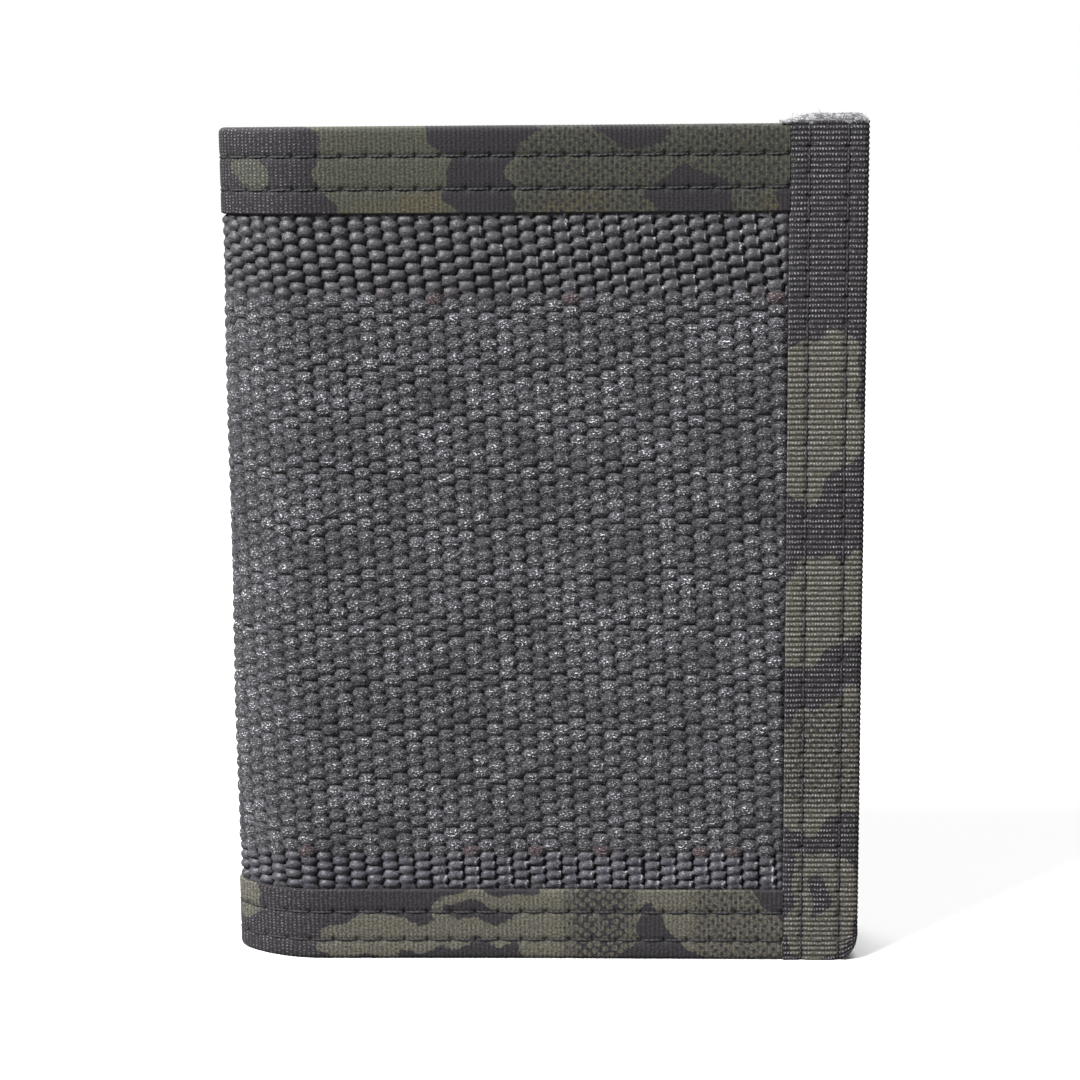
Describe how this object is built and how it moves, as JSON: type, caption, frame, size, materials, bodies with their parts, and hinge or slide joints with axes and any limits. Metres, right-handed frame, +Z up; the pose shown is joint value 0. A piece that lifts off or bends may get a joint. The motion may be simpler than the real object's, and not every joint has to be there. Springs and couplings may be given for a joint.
{
  "type": "trifold wallet",
  "caption": "Closed trifold wallet in wide woven webbing with folded tape edges; two flaps fold over card pockets and a bill compartment.",
  "frame": {"origin": "middle of the bottom of the closed wallet's bounding box, on the surface that it stands on", "axes": "+X from the left fold to the front flap's bound free edge, +Y from the front face to the back face, +Z up along the folds"},
  "size_m": [0.078, 0.0212, 0.1042],
  "materials": {
    "webbing": "coarse spun weave, matte",
    "binding_tape": "ribbed tape with a printed pattern",
    "narrow_tape": "ribbed tape",
    "lining": "plain coated cloth",
    "hook": "moulded hooks",
    "loop": "brushed loops",
    "clear_film": "clear flexible film",
    "thread": "sewing thread"
  },
  "bodies": {
    "back_panel": {"back_shell": "webbing", "back_top_tape": "binding_tape", "back_bottom_tape": "binding_tape", "back_lining": "lining", "back_lining_mouth_tape": "narrow_tape", "card_pocket_rear": "lining", "card_pocket_middle": "lining", "card_pocket_front": "lining", "id_window_film": "clear_film", "pocket_left_tape": "narrow_tape", "pocket_right_tape": "narrow_tape", "left_fold_back_web": "webbing", "left_fold_back_tapes": "binding_tape", "left_fold_back_lining": "lining", "right_fold_back_web": "webbing", "right_fold_back_tapes": "binding_tape", "right_fold_back_lining": "lining"},
    "left_spine": {"left_spine_shell": "webbing", "left_spine_tapes": "binding_tape", "left_spine_lining": "lining", "left_fold_front_web": "webbing", "left_fold_front_tapes": "binding_tape", "left_fold_front_lining": "lining"},
    "front_flap": {"front_shell": "webbing", "front_top_tape": "binding_tape", "front_bottom_tape": "binding_tape", "front_end_tape": "binding_tape", "front_lining": "lining", "front_lining_mouth_tape": "narrow_tape", "front_slip_pocket": "lining", "hook_strip": "hook"},
    "right_spine": {"right_spine_shell": "webbing", "right_spine_tapes": "binding_tape", "right_spine_lining": "lining", "right_fold_front_web": "webbing", "right_fold_front_tapes": "binding_tape", "right_fold_front_lining": "lining"},
    "inner_flap": {"inner_shell": "webbing", "inner_top_tape": "binding_tape", "inner_bottom_tape": "binding_tape", "inner_end_tape": "binding_tape", "inner_lining": "lining", "inner_lining_mouth_tape": "narrow_tape", "inner_slip_pocket": "lining", "loop_strip": "loop"}
  },
  "joints": [
    {"name": "left_fold_back", "type": "hinge", "parent": "back_panel", "child": "left_spine", "pos_m": [-0.03482, 0.00642, 0.0515], "axis": [0, 0, -1], "range_deg": [0, 90], "deforming": ["left_fold_back_web", "left_fold_back_tapes", "left_fold_back_lining"]},
    {"name": "left_fold_front", "type": "hinge", "parent": "left_spine", "child": "front_flap", "pos_m": [-0.03482, -0.00642, 0.0515], "axis": [0, 0, -1], "range_deg": [0, 90], "deforming": ["left_fold_front_web", "left_fold_front_tapes", "left_fold_front_lining"]},
    {"name": "right_fold_back", "type": "hinge", "parent": "back_panel", "child": "right_spine", "pos_m": [0.03382, 0.00642, 0.0515], "axis": [0, 0, 1], "range_deg": [0, 36], "deforming": ["right_fold_back_web", "right_fold_back_tapes", "right_fold_back_lining"]},
    {"name": "right_fold_front", "type": "hinge", "parent": "right_spine", "child": "inner_flap", "pos_m": [0.03382, -0.00072, 0.0515], "axis": [0, 0, 1], "range_deg": [0, 36], "deforming": ["right_fold_front_web", "right_fold_front_tapes", "right_fold_front_lining"]}
  ],
  "couplings": [
    {"joint": "left_fold_front", "follows": "left_fold_back", "ratio": 1},
    {"joint": "right_fold_back", "follows": "left_fold_back", "ratio": 0.4},
    {"joint": "right_fold_front", "follows": "left_fold_back", "ratio": 0.4}
  ]
}
